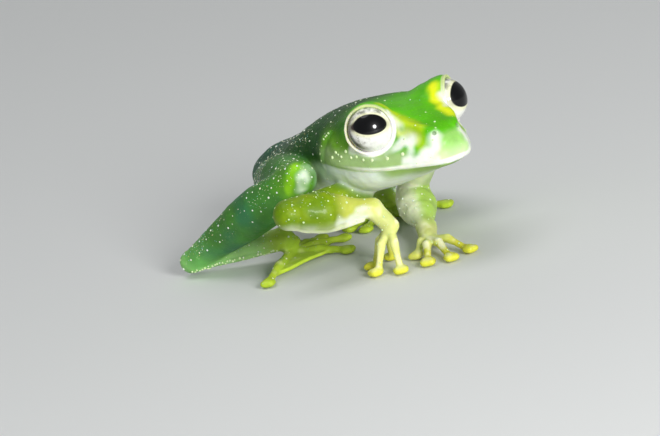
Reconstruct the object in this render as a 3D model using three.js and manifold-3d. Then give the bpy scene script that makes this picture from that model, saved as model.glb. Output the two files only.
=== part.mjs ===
// Life-size glass frog, crouched on a flat floor with both hands under its chin.
// Millimetres, +X forward, +Y to the frog's left, +Z up.
import * as THREE from "three";
import { mergeVertices } from "three/addons/utils/BufferGeometryUtils.js";
import Module from "manifold-3d";

const wasm = await Module();
wasm.setup();

// Driving sizes
const GAP = 0.3;                // space kept between touching pieces
const EYE_HEIGHT = 9.25;        // eye centres above the floor
const EYE_HALF_SPACING = 2.85;
const EYE_RADIUS = 1.47;
const LID_GAP = 0.14;
const LID_THICKNESS = 0.12;
const LID_RIM_RADIUS = 1.57;    // the thin rim round the opening of the lids
const LID_RIM_THICKNESS = 0.11;
const LID_RIM_AHEAD = 0.48;     // how far the rim lies ahead of the eye's centre
const EYE_YAW = 44;             // degrees outward from straight ahead
const EYE_PITCH = 3;            // degrees upward
const LID_OPENING = 71;         // degrees from the eye's axis to the rim of the lids
const FACE_CUT_DEPTH = 1.4;     // the hollow in front of each eye, which widens forward from the rim
const FACE_CUT_FLARE = 1.0;
const BROW = { x: -0.5, y: 2.3, z: 9.12, half: [1.8, 1.6, 1.5] };
const NOSTRIL = { x: 3.75, y: 0.72, z: 8.5, mound: 0.34, pit: 0.15, pitAhead: 0.26 };
const EARDRUM = { x: -3.3, angle: 22, radius: 0.5, flatness: 0.34, sunk: 0.04 };
const LIP = { lift: 0.26, inset: 0.17, radius: 0.24 };
const MOUTH_GROOVE = { inset: 0.02, radius: 0.15 };
const SNOUT_X = 4.62;
const VENT_X = -19.9;
const NECK_X = -4.7;            // plane between head and torso
const MOUTH_FRONT_Z = 6.55;
const MOUTH_CORNER_Z = 7.05;
const MOUTH_CORNER_X = -3.2;
const DISC_HALF_WIDTH = 0.55;
const DISC_HALF_HEIGHT = 0.34;
const WEB_THICKNESS = 0.5;
const WEB_REACH = 0.6;          // share of each toe that the web follows
const FLOOR_BLOCK = 60;         // size of the block that trims everything at the floor

const COLOURS = {
  crown: 0x5aa51e,
  trunk: 0x3f8f5c,
  arm: 0x9db82c,
  leg: 0x4f9c78,
  digit: 0xcfd83a,
  eye: 0xd8dcd6,
};

// Outline of head and trunk along X: half width, top, bottom, the height where it is widest,
// and the exponent of the section, where 2 is an ellipse
const BODY_LINE = [
  { x: SNOUT_X, half: 0.02, top: 7.62, bottom: 7.3, widest: 7.4, square: 2.1 },
  { x: 4.54, half: 0.7, top: 8.12, bottom: 6.8, widest: 7.28, square: 2.1 },
  { x: 4.22, half: 1.19, top: 8.5, bottom: 6.46, widest: 7.2, square: 2.1 },
  { x: 3.65, half: 1.66, top: 8.88, bottom: 6.24, widest: 7.12, square: 2.05 },
  { x: 2.9, half: 2.16, top: 9.22, bottom: 6.08, widest: 7.1, square: 2.1 },
  { x: 2.0, half: 2.7, top: 9.54, bottom: 5.85, widest: 7.1, square: 2.25 },
  { x: 0.6, half: 3.48, top: 9.92, bottom: 5.4, widest: 7.15, square: 2.65 },
  { x: -1.3, half: 4.08, top: 10.2, bottom: 4.85, widest: 7.2, square: 2.8 },
  { x: -3.0, half: 4.25, top: 10.2, bottom: 4.45, widest: 7.2, square: 2.5 },
  { x: -4.7, half: 3.95, top: 10.0, bottom: 4.2, widest: 7.1, square: 2.3 },
  { x: -6.4, half: 3.75, top: 9.7, bottom: 3.85, widest: 6.9, square: 2.2 },
  { x: -8.5, half: 3.85, top: 9.05, bottom: 3.2, widest: 6.4, square: 2.2 },
  { x: -11.0, half: 3.7, top: 8.0, bottom: 2.45, widest: 5.6, square: 2.2 },
  { x: -13.5, half: 2.95, top: 7.2, bottom: 2.0, widest: 4.9, square: 2.2 },
  { x: -16.0, half: 2.15, top: 6.55, bottom: 1.95, widest: 4.4, square: 2.2 },
  { x: -18.0, half: 1.55, top: 5.75, bottom: 2.3, widest: 4.1, square: 2.1 },
  { x: -19.3, half: 0.95, top: 4.95, bottom: 2.9, widest: 3.95, square: 2 },
  { x: VENT_X, half: 0.02, top: 3.98, bottom: 3.82, widest: 3.9, square: 2 },
];
const BODY_RINGS = 48;
const BODY_SIDES = 32;

// Joints of the limbs, right side; the left side has its own places
const POSE = {
  right: {
    hip: [-15.4, -1.7, 4.4],
    knee: [-5.6, -5.5, 6.4],
    heel: [-16.1, -8.7, 1.0],
    ankle: [-10.9, -4.6, 1.65],
    toes: [[-13.5, -2.3], [-12.5, -0.9], [-10.7, -0.2], [-7.7, -1.9], [-7.2, -8.5]],
    shoulder: [-3.6, -2.7, 4.7],
    elbow: [-3.1, -8.2, 5.1],
    wrist: [-1.3, -3.3, 4.1],
    knuckles: [-0.5, -2.8, 2.8],
    fingers: [[-2.7, -1.9], [-2.2, -3.7], [-0.6, -4.5], [0.9, -3.6]],
  },
  left: {
    hip: [-15.4, 1.7, 4.4],
    knee: [-6.0, 6.0, 6.4],
    heel: [-17.8, 8.0, 1.0],
    ankle: [-12.7, 4.7, 1.1],
    toes: [[-12.2, 1.3], [-10.7, 1.6], [-9.3, 2.7], [-8.4, 4.3], [-9.3, 7.2]],
    shoulder: [-3.9, 3.3, 5.7],
    elbow: [-7.6, 3.7, 2.4],
    wrist: [-3.0, 1.35, 1.1],
    knuckles: [-1.7, 0.5, 0.75],
    fingers: [[-0.8, -1.2], [1.5, -1.9], [2.4, -0.7], [2.2, 0.9]],
  },
};
const DIGIT_FLOOR_Z = 0.3;      // height of a disc's middle above the floor

// Radii along each limb piece, from its near end to its far end
const THIGH = [1.35, 1.6, 1.55, 1.1];
const SHANK = [1.15, 1.5, 1.25, 0.8];
const TARSUS = [0.8, 0.72, 0.78, 0.85];
const UPPER_ARM = [1.0, 0.95, 0.95];
const FOREARM = [1.0, 1.32, 0.95, 0.68];
const PALM_RADIUS = 0.72;
const FOOT_RADIUS = 0.8;
const DIGIT_ROOT = 0.4;
const DIGIT_NECK = 0.28;
const NECK_BACK = 0.24;         // share of a digit's outer half where its neck lies
const NECK_RISE = 0.12;
const TOE_ARCH = 0.15;          // how far the middle of a toe or finger is lifted
const FINGER_ARCH = 0.35;
const FOOT_ROOT_Z = 0.62;
const WEB_UNDERSIDE_Z = 0.12;
const WEB_HOLLOW = 0.35;

// Cubic interpolation through the body line
const lineKeys = ["half", "top", "bottom", "widest", "square"];

function hermite(a, b, slopeA, slopeB, t) {
  const t2 = t * t;
  const t3 = t2 * t;
  return (2 * t3 - 3 * t2 + 1) * a + (t3 - 2 * t2 + t) * slopeA + (3 * t2 - 2 * t3) * b + (t3 - t2) * slopeB;
}

function bodyAt(x) {
  const last = BODY_LINE.length - 2;
  let i = BODY_LINE.findIndex((row, k) => k > 0 && x >= row.x) - 1;
  i = Math.min(Math.max(i < 0 ? last : i, 0), last);
  const [before, a, b, after] = [i - 1, i, i + 1, i + 2].map((k) => BODY_LINE[Math.min(Math.max(k, 0), last + 1)]);
  const span = b.x - a.x;
  const t = Math.min(Math.max((x - a.x) / span, 0), 1);
  const row = {};
  for (const key of lineKeys) {
    const slopeA = before === a ? b[key] - a[key] : ((b[key] - before[key]) / (b.x - before.x)) * span;
    const slopeB = after === b ? b[key] - a[key] : ((after[key] - a[key]) / (after.x - a.x)) * span;
    row[key] = hermite(a[key], b[key], slopeA, slopeB, t);
  }
  return row;
}

// A point of the body's surface at x, angle 0 is the left side and 90 degrees the top
function bodyPoint(x, angle, grow = 0) {
  const row = bodyAt(x);
  const power = 2 / row.square;
  const c = Math.cos(angle);
  const s = Math.sin(angle);
  const rise = s > 0 ? row.top - row.widest : row.widest - row.bottom;
  const y = (row.half + grow) * Math.sign(c) * Math.abs(c) ** power;
  const z = row.widest + (rise + grow) * Math.sign(s) * Math.abs(s) ** power;
  return new THREE.Vector3(x, y, z);
}

// Closed mesh from rings of points, with a pole at each end
function skinRings(rings, startPole, endPole) {
  const sides = rings[0].length;
  const points = [startPole, ...rings.flat(), endPole];
  const at = (ring, side) => 1 + ring * sides + (side % sides);
  const end = points.length - 1;
  const faces = [];
  for (let s = 0; s < sides; s += 1) {
    faces.push(0, at(0, s + 1), at(0, s));
    faces.push(end, at(rings.length - 1, s), at(rings.length - 1, s + 1));
    for (let r = 0; r + 1 < rings.length; r += 1) {
      faces.push(at(r, s), at(r, s + 1), at(r + 1, s + 1));
      faces.push(at(r, s), at(r + 1, s + 1), at(r + 1, s));
    }
  }
  const geometry = new THREE.BufferGeometry();
  geometry.setAttribute("position", new THREE.Float32BufferAttribute(points.flatMap((p) => [p.x, p.y, p.z]), 3));
  geometry.setIndex(faces);
  return geometry;
}

// Solids
function solid(geometry) {
  const bare = geometry.clone();
  for (const name of ["normal", "uv"]) {
    bare.deleteAttribute(name);
  }
  const merged = mergeVertices(bare, 1e-5);
  const vertProperties = new Float32Array(merged.attributes.position.array);
  const triVerts = new Uint32Array(merged.index.array);
  const made = new wasm.Manifold(new wasm.Mesh({ numProp: 3, vertProperties, triVerts }));
  if (made.volume() > 0) {
    return made;
  }
  for (let i = 0; i < triVerts.length; i += 3) {
    [triVerts[i], triVerts[i + 1]] = [triVerts[i + 1], triVerts[i]];
  }
  return new wasm.Manifold(new wasm.Mesh({ numProp: 3, vertProperties, triVerts }));
}

function largest(shape) {
  const pieces = shape.decompose();
  return pieces.reduce((best, piece) => (piece.volume() > best.volume() ? piece : best));
}

const vector = (p) => new THREE.Vector3(p[0], p[1], p[2]);

function ellipsoid(centre, half, detail) {
  const geometry = new THREE.SphereGeometry(1, detail, detail / 2);
  geometry.scale(...half);
  geometry.translate(centre.x, centre.y, centre.z);
  return solid(geometry);
}

const ball = (centre, radius, detail = 20) => ellipsoid(centre, [radius, radius, radius], detail);

// A block that fills the side of a plane that its normal points to
function halfSpace(point, normal, offset = 0) {
  const geometry = new THREE.BoxGeometry(FLOOR_BLOCK, FLOOR_BLOCK, FLOOR_BLOCK);
  geometry.translate(0, 0, FLOOR_BLOCK / 2 + offset);
  const turn = new THREE.Quaternion().setFromUnitVectors(new THREE.Vector3(0, 0, 1), normal.clone().normalize());
  geometry.applyQuaternion(turn);
  geometry.translate(point.x, point.y, point.z);
  return solid(geometry);
}

const belowFloor = halfSpace(new THREE.Vector3(), new THREE.Vector3(0, 0, -1));

// A rounded tube through points, each with a half width and a half height
function tube(points, { sides = 12, rings = 8, caps = 3 } = {}) {
  const curve = new THREE.CatmullRomCurve3(points.map((p) => p.at), false, "centripetal");
  const sizeAt = (t, key) => {
    const place = t * (points.length - 1);
    const i = Math.min(Math.floor(place), points.length - 2);
    const blend = THREE.MathUtils.smoothstep(place - i, 0, 1);
    return THREE.MathUtils.lerp(points[i][key], points[i + 1][key], blend);
  };
  const ringAt = (t, shrink, along) => {
    const tangent = curve.getTangent(t);
    const across = new THREE.Vector3(0, 0, 1).cross(tangent);
    if (across.length() < 0.2) {
      across.set(0, 1, 0);
    }
    across.normalize();
    const upward = tangent.clone().cross(across);
    const centre = curve.getPoint(t).addScaledVector(tangent, along);
    return Array.from({ length: sides }, (_, k) => {
      const angle = (2 * Math.PI * k) / sides;
      return centre
        .clone()
        .addScaledVector(across, Math.cos(angle) * sizeAt(t, "half") * shrink)
        .addScaledVector(upward, Math.sin(angle) * sizeAt(t, "high") * shrink);
    });
  };
  const made = [];
  const reach = (t) => Math.min(sizeAt(t, "half"), sizeAt(t, "high"));
  for (let k = caps; k >= 1; k -= 1) {
    const angle = (k / (caps + 1)) * (Math.PI / 2);
    made.push(ringAt(0, Math.cos(angle), -Math.sin(angle) * reach(0)));
  }
  for (let k = 0; k <= rings; k += 1) {
    made.push(ringAt(k / rings, 1, 0));
  }
  for (let k = 1; k <= caps; k += 1) {
    const angle = (k / (caps + 1)) * (Math.PI / 2);
    made.push(ringAt(1, Math.cos(angle), Math.sin(angle) * reach(1)));
  }
  const start = curve.getPoint(0).addScaledVector(curve.getTangent(0), -reach(0));
  const end = curve.getPoint(1).addScaledVector(curve.getTangent(1), reach(1));
  return solid(skinRings(made, start, end));
}

// Head and trunk as one loft, then parted at the neck
function bodyLoft(grow = 0) {
  const rings = [];
  for (let r = 1; r < BODY_RINGS; r += 1) {
    const across = (1 - Math.cos((Math.PI * r) / BODY_RINGS)) / 2;
    const even = r / BODY_RINGS;
    const x = THREE.MathUtils.lerp(VENT_X, SNOUT_X, 0.8 * across + 0.2 * even);
    rings.push(Array.from({ length: BODY_SIDES }, (_, k) => bodyPoint(x, (2 * Math.PI * k) / BODY_SIDES, grow)));
  }
  const tail = new THREE.Vector3(VENT_X - grow, 0, bodyAt(VENT_X).widest);
  const nose = new THREE.Vector3(SNOUT_X + grow, 0, bodyAt(SNOUT_X).widest);
  return solid(skinRings(rings, tail, nose));
}

function mouthHeight(x) {
  const t = THREE.MathUtils.clamp((SNOUT_X - x) / (SNOUT_X - MOUTH_CORNER_X), 0, 1);
  return THREE.MathUtils.lerp(MOUTH_FRONT_Z, MOUTH_CORNER_Z, t * t);
}

// Points round the jaw at the mouth's height, raised by lift and pushed in by inset
function jawLine(lift, inset, steps = 34) {
  const front = SNOUT_X - 0.45;
  return Array.from({ length: steps + 1 }, (_, k) => {
    const swing = Math.PI * (k / steps) - Math.PI / 2;
    const x = THREE.MathUtils.lerp(MOUTH_CORNER_X, front, Math.cos(swing));
    const z = mouthHeight(x) + lift;
    const row = bodyAt(x);
    const rise = z > row.widest ? row.top - row.widest : row.widest - row.bottom;
    const share = Math.min(Math.abs((z - row.widest) / rise), 0.999);
    const half = row.half * (1 - share ** row.square) ** (1 / row.square);
    const side = Math.sin(swing) >= 0 ? 1 : -1;
    return new THREE.Vector3(x, side * Math.max(half - inset, 0) * Math.min(1, Math.abs(Math.sin(swing)) * 6), z);
  });
}

function bead(points, radius, steps) {
  return tube(points.map((at) => ({ at, half: radius, high: radius })), { sides: 6, rings: steps, caps: 1 });
}

const sideSign = (side) => (side === "left" ? 1 : -1);
const eyeCentre = (side) => new THREE.Vector3(0, sideSign(side) * EYE_HALF_SPACING, EYE_HEIGHT);

function eyeAxis(side) {
  const yaw = THREE.MathUtils.degToRad(EYE_YAW) * sideSign(side);
  const pitch = THREE.MathUtils.degToRad(EYE_PITCH);
  return new THREE.Vector3(Math.cos(pitch) * Math.cos(yaw), Math.cos(pitch) * Math.sin(yaw), Math.sin(pitch));
}

// Turns a shape made along Z to look where the eye looks, and sets it ahead of the eye's centre
function aheadOfEye(geometry, side, ahead) {
  geometry.applyQuaternion(new THREE.Quaternion().setFromUnitVectors(new THREE.Vector3(0, 0, 1), eyeAxis(side)));
  const place = eyeCentre(side).addScaledVector(eyeAxis(side), ahead);
  geometry.translate(place.x, place.y, place.z);
  return solid(geometry);
}

// The cup of skin round the eye, on a brow that slopes down to the crown
function lidBulge(side) {
  const centre = eyeCentre(side);
  const cut = EYE_RADIUS * Math.cos(THREE.MathUtils.degToRad(LID_OPENING));
  const cup = ball(centre, EYE_RADIUS + LID_GAP + LID_THICKNESS, 24);
  const brow = ellipsoid(new THREE.Vector3(BROW.x, sideSign(side) * BROW.y, BROW.z), BROW.half, 18);
  return cup.subtract(halfSpace(centre, eyeAxis(side), cut)).add(brow);
}

function lidRim(side) {
  return aheadOfEye(new THREE.TorusGeometry(LID_RIM_RADIUS, LID_RIM_THICKNESS, 6, 24), side, LID_RIM_AHEAD);
}

function eyeSocket(side) {
  return ball(eyeCentre(side), EYE_RADIUS + LID_GAP, 24);
}

// Clear space in front of the eye, so that no skin lies over the cornea
function faceCut(side) {
  const start = LID_RIM_RADIUS + LID_RIM_THICKNESS;
  const cone = new THREE.CylinderGeometry(start + FACE_CUT_FLARE * FACE_CUT_DEPTH, start, FACE_CUT_DEPTH, 28);
  cone.rotateX(Math.PI / 2);
  return aheadOfEye(cone, side, LID_RIM_AHEAD + FACE_CUT_DEPTH / 2);
}

function nostril(side) {
  const middle = new THREE.Vector3(NOSTRIL.x, sideSign(side) * NOSTRIL.y, NOSTRIL.z);
  const outward = new THREE.Vector3(1, sideSign(side), 0).normalize();
  const pit = middle.clone().addScaledVector(outward, NOSTRIL.pitAhead);
  return { mound: ball(middle, NOSTRIL.mound, 12), pit: ball(pit, NOSTRIL.pit, 8) };
}

function eardrum(side) {
  const surface = bodyPoint(EARDRUM.x, THREE.MathUtils.degToRad(EARDRUM.angle));
  const middle = new THREE.Vector3(surface.x, sideSign(side) * (surface.y - EARDRUM.sunk), surface.z);
  return ellipsoid(middle, [EARDRUM.radius, EARDRUM.radius * EARDRUM.flatness, EARDRUM.radius], 14);
}

const wholeBody = bodyLoft();
const neckPoint = new THREE.Vector3(NECK_X, 0, 7);
const forwardAxis = new THREE.Vector3(1, 0, 0);
const aheadOfNeck = halfSpace(neckPoint, forwardAxis, -GAP / 2);
const behindNeck = halfSpace(neckPoint, forwardAxis.clone().negate(), -GAP / 2);

function makeHead() {
  let head = wholeBody.subtract(behindNeck);
  head = head.add(bead(jawLine(LIP.lift, LIP.inset), LIP.radius, 40));
  for (const side of ["right", "left"]) {
    head = head.add(lidBulge(side)).add(nostril(side).mound).add(eardrum(side));
  }
  for (const side of ["right", "left"]) {
    head = head.subtract(faceCut(side)).add(lidRim(side));
    head = head.subtract(eyeSocket(side)).subtract(nostril(side).pit);
  }
  head = head.subtract(bead(jawLine(0, MOUTH_GROOVE.inset), MOUTH_GROOVE.radius, 40));
  return largest(head);
}

// Limb pieces
function limbPoints(from, to, radii, flatness = 1) {
  const a = vector(from);
  const b = vector(to);
  return radii.map((radius, k) => {
    const at = a.clone().lerp(b, k / (radii.length - 1));
    return { at, half: radius * flatness, high: radius };
  });
}

// Parts two pieces that meet at a joint by the plane that halves their angle
function jointSides(joint, nearEnd, farEnd) {
  const centre = vector(joint);
  const toNear = vector(nearEnd).sub(centre).normalize();
  const toFar = vector(farEnd).sub(centre).normalize();
  const across = toNear.clone().sub(toFar).normalize();
  return {
    nearSide: halfSpace(centre, across, GAP / 2),
    farSide: halfSpace(centre, across.clone().negate(), GAP / 2),
  };
}

// Fingers and toes
function digit(root, tip, arch) {
  const a = root.clone();
  const b = new THREE.Vector3(tip[0], tip[1], DIGIT_FLOOR_Z);
  const middle = a.clone().lerp(b, 0.5);
  middle.z += arch;
  const beforeDisc = b.clone().lerp(middle, NECK_BACK);
  beforeDisc.z = DIGIT_FLOOR_Z + NECK_RISE;
  const points = [
    { at: a, half: DIGIT_ROOT, high: DIGIT_ROOT },
    { at: middle, half: (DIGIT_ROOT + DIGIT_NECK) / 2, high: (DIGIT_ROOT + DIGIT_NECK) / 2 },
    { at: beforeDisc, half: DIGIT_NECK, high: DIGIT_NECK },
    { at: b, half: DISC_HALF_WIDTH, high: DISC_HALF_HEIGHT },
  ];
  return tube(points, { sides: 8, rings: 6, caps: 2 });
}

// A thin sheet between two neighbouring toes, with a hollow front edge
function web(root, tipA, tipB, share) {
  const base = new THREE.Vector2(root.x, root.y);
  const a = new THREE.Vector2(tipA[0], tipA[1]);
  const b = new THREE.Vector2(tipB[0], tipB[1]);
  const outerA = base.clone().lerp(a, share);
  const outerB = base.clone().lerp(b, share);
  const hollow = outerA.clone().add(outerB).multiplyScalar(0.5).lerp(base, WEB_HOLLOW);
  const shape = new THREE.Shape();
  shape.moveTo(base.x, base.y);
  shape.lineTo(outerA.x, outerA.y);
  shape.quadraticCurveTo(hollow.x, hollow.y, outerB.x, outerB.y);
  shape.closePath();
  const sheet = new THREE.ExtrudeGeometry(shape, { depth: WEB_THICKNESS, bevelEnabled: false, curveSegments: 5 });
  sheet.translate(0, 0, WEB_UNDERSIDE_Z);
  return solid(sheet);
}

function makeFoot(pose) {
  const ankle = vector(pose.ankle);
  const toesMiddle = new THREE.Vector3(0, 0, 0.55);
  pose.toes.forEach((tip) => toesMiddle.add(new THREE.Vector3(tip[0] / 5, tip[1] / 5, 0)));
  const instep = ankle.clone().lerp(toesMiddle, 0.32);
  let foot = tube(
    [
      { at: ankle, half: FOOT_RADIUS, high: FOOT_RADIUS },
      { at: instep, half: FOOT_RADIUS * 1.15, high: FOOT_RADIUS * 0.62 },
    ],
    { rings: 4 },
  );
  const root = ankle.clone().lerp(instep, 0.55);
  root.z = FOOT_ROOT_Z;
  pose.toes.forEach((tip, k) => {
    foot = foot.add(digit(root, tip, TOE_ARCH));
    if (k > 0) {
      foot = foot.add(web(root, pose.toes[k - 1], tip, WEB_REACH));
    }
  });
  return foot;
}

function makeHand(pose) {
  const wrist = vector(pose.wrist);
  const knuckles = vector(pose.knuckles);
  let hand = tube(
    [
      { at: wrist, half: PALM_RADIUS * 0.95, high: PALM_RADIUS * 0.9 },
      { at: knuckles, half: PALM_RADIUS, high: PALM_RADIUS * 0.75 },
    ],
    { rings: 4 },
  );
  for (const tip of pose.fingers) {
    hand = hand.add(digit(knuckles, tip, FINGER_ARCH));
  }
  return hand;
}

function makeLimbs(pose, bodyGrown) {
  const knee = jointSides(pose.knee, pose.hip, pose.heel);
  const heel = jointSides(pose.heel, pose.knee, pose.ankle);
  const beyondAnkle = vector(pose.ankle).multiplyScalar(2).sub(vector(pose.heel)).toArray();
  const ankle = jointSides(pose.ankle, pose.heel, beyondAnkle);
  const elbow = jointSides(pose.elbow, pose.shoulder, pose.wrist);
  const wrist = jointSides(pose.wrist, pose.elbow, pose.knuckles);
  return {
    thigh: tube(limbPoints(pose.hip, pose.knee, THIGH)).intersect(knee.nearSide).subtract(bodyGrown),
    shank: tube(limbPoints(pose.knee, pose.heel, SHANK, 0.85)).intersect(knee.farSide).intersect(heel.nearSide),
    tarsus: tube(limbPoints(pose.heel, pose.ankle, TARSUS)).intersect(heel.farSide).intersect(ankle.nearSide),
    foot: makeFoot(pose).intersect(ankle.farSide),
    upper_arm: tube(limbPoints(pose.shoulder, pose.elbow, UPPER_ARM)).intersect(elbow.nearSide).subtract(bodyGrown),
    forearm: tube(limbPoints(pose.elbow, pose.wrist, FOREARM)).intersect(elbow.farSide).intersect(wrist.nearSide),
    hand: makeHand(pose).intersect(wrist.farSide),
  };
}

// Scene graph
const frog = new THREE.Group();

function addNode(name, shape, colour) {
  const mesh = shape.getMesh();
  const geometry = new THREE.BufferGeometry();
  geometry.setAttribute("position", new THREE.BufferAttribute(new Float32Array(mesh.vertProperties), 3));
  geometry.setIndex(new THREE.BufferAttribute(new Uint32Array(mesh.triVerts), 1));
  geometry.computeVertexNormals();
  const material = new THREE.MeshStandardMaterial({ color: colour, roughness: 0.35, metalness: 0 });
  const node = new THREE.Mesh(geometry, material);
  node.name = name;
  frog.add(node);
}

const LIMB_COLOURS = {
  thigh: COLOURS.leg,
  shank: COLOURS.leg,
  tarsus: COLOURS.leg,
  foot: COLOURS.digit,
  upper_arm: COLOURS.arm,
  forearm: COLOURS.arm,
  hand: COLOURS.digit,
};

const bodyGrown = bodyLoft(GAP);
addNode("head", makeHead(), COLOURS.crown);
addNode("torso", largest(wholeBody.subtract(aheadOfNeck)), COLOURS.trunk);
for (const side of ["right", "left"]) {
  addNode(`eye_${side}`, ball(eyeCentre(side), EYE_RADIUS, 24), COLOURS.eye);
  const limbs = makeLimbs(POSE[side], bodyGrown);
  for (const [name, shape] of Object.entries(limbs)) {
    addNode(`${name}_${side}`, largest(shape.subtract(belowFloor)), LIMB_COLOURS[name]);
  }
}

// The origin is the middle of the footprint, on the floor
const box = new THREE.Box3().setFromObject(frog);
frog.position.set(-(box.min.x + box.max.x) / 2, -(box.min.y + box.max.y) / 2, -box.min.z);

export default frog;
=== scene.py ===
# A life-size glass frog crouched on a pale floor: moist skin, flecks, fringe and eyes.
import itertools
import math

import bpy
import numpy as np
import openvdb
from mathutils import Matrix, Vector


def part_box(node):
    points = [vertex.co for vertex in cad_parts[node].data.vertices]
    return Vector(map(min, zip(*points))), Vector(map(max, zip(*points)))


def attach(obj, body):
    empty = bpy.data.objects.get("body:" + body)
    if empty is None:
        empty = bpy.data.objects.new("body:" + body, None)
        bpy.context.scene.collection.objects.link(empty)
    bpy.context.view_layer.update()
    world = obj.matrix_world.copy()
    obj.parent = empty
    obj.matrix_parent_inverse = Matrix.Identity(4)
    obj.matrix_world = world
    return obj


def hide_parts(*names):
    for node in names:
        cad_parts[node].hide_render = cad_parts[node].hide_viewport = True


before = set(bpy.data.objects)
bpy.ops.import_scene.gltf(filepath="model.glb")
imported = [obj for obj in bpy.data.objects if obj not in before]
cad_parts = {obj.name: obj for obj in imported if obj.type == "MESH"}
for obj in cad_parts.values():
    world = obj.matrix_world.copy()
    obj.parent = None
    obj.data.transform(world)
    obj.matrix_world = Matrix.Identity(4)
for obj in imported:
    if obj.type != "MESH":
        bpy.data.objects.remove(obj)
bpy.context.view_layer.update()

# Driving sizes, in millimetres, with the origin on the floor under the eyes
MM = 0.001
EYE_HEIGHT = 9.25
EYE_HALF_SPACING = 2.85
EYE_RADIUS = 1.47
LID_YAW = 44
LID_PITCH = 3
LID_THICKNESS = 0.2
LID_RIM_RADIUS = 1.53
LID_RIM_THICKNESS = 0.09
LID_RIM_AHEAD = 0.48
FACE_CUT_FLARE = 1.0
FACE_CUT_ROOM = 0.1
FACE_CUT_SLOPE = 0.67
EYE_ROOM_OVERLAP = 0.03
SNOUT_X = 4.62
VENT_X = -19.9
MOUTH_FRONT_Z = 6.55
MOUTH_CORNER_Z = 7.05
MOUTH_CORNER_X = -3.2
MOUTH_GROOVE = 0.07
JAW_INSET = 0.14
NOSTRIL_PIT = 0.13
DIGIT_FLOOR_Z = 0.3
WEB_THICKNESS = 0.2
FRINGE_RADIUS = 0.13
THINNEST = 0.02

# The grid that the skin's surface is found on
VOXEL = 0.07
GRID_LOW = (-20.4, -10.2, -0.4)
GRID_HIGH = (5.5, 10.0, 11.6)
FAR = 3.0

# Head and trunk along X: half width, top, bottom, height where it is widest, exponent of the section
BODY_LINE = [
    (SNOUT_X, 0.02, 7.62, 7.3, 7.4, 2.1),
    (4.54, 0.7, 8.12, 6.8, 7.28, 2.1),
    (4.22, 1.19, 8.5, 6.46, 7.2, 2.1),
    (3.65, 1.66, 8.88, 6.24, 7.12, 2.05),
    (2.9, 2.16, 9.22, 6.08, 7.1, 2.1),
    (2.0, 2.7, 9.54, 5.85, 7.1, 2.25),
    (0.6, 3.48, 9.92, 5.4, 7.15, 2.65),
    (-1.3, 4.08, 10.2, 4.85, 7.2, 2.8),
    (-3.0, 4.25, 10.2, 4.45, 7.2, 2.5),
    (-4.7, 3.95, 10.0, 4.2, 7.1, 2.3),
    (-6.4, 3.75, 9.7, 3.85, 6.9, 2.2),
    (-8.5, 3.85, 9.05, 3.2, 6.4, 2.2),
    (-11.0, 3.7, 8.0, 2.45, 5.6, 2.2),
    (-13.5, 2.95, 7.2, 2.0, 4.9, 2.2),
    (-16.0, 2.15, 6.55, 1.95, 4.4, 2.2),
    (-18.0, 1.55, 5.75, 2.3, 4.1, 2.1),
    (-19.3, 0.95, 4.95, 2.9, 3.95, 2.0),
    (VENT_X, 0.02, 3.98, 3.82, 3.9, 2.0),
]

# Forms on the left side of the head: a line and its radii, or a middle and half sizes
FOLD = [(-3.3, 3.75, 9.15), (-3.75, 3.95, 8.75), (-4.3, 3.98, 8.05), (-4.6, 3.95, 7.4), (-4.7, 3.9, 6.8)]
FOLD_RADII = [0.1, 0.2, 0.22, 0.2, 0.1]
CANTHUS_LINE = [(1.4, 1.75, 9.2), (2.5, 1.45, 8.98), (3.5, 0.95, 8.72)]
CANTHUS_RADII = [0.36, 0.32, 0.24]
BROW = ((-0.55, 2.3, 9.12), (1.78, 1.6, 1.5))
SNOUT_TIP = ((3.55, 0.55, 7.25), (0.85, 0.8, 0.62))
EARDRUM = ((-2.7, 4.12, 8.1), (0.42, 0.16, 0.42))
NOSTRIL_MOUND = ((3.72, 0.72, 8.48), 0.34)
NOSTRIL = (3.96, 0.89, 8.56)

# Pale dots over the upper lip, on the left side
LIP_DOTS = [
    (2.31, 2.48, 7.6), (1.32, 3.08, 7.46), (0.38, 3.55, 7.39), (-0.22, 3.77, 7.44), (-0.69, 3.9, 7.7),
    (-1.14, 4.01, 7.65), (-1.54, 4.07, 8.0), (-2.0, 4.15, 7.7), (-2.5, 4.2, 7.95), (-3.0, 4.22, 7.6),
]

# Where fine specks lie thickest on the right shank
SHANK_GLITTER = [(-8.2, -7.6, 4.8), (-9.8, -8.0, 4.0), (-11.2, -8.3, 3.2)]

# The white lower edge of the right forearm near the wrist
WRIST_EDGE = [(-1.5, -5.8, 4.0), (-1.25, -4.7, 3.9), (-1.0, -3.8, 3.8), (-0.8, -3.2, 3.5)]

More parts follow.
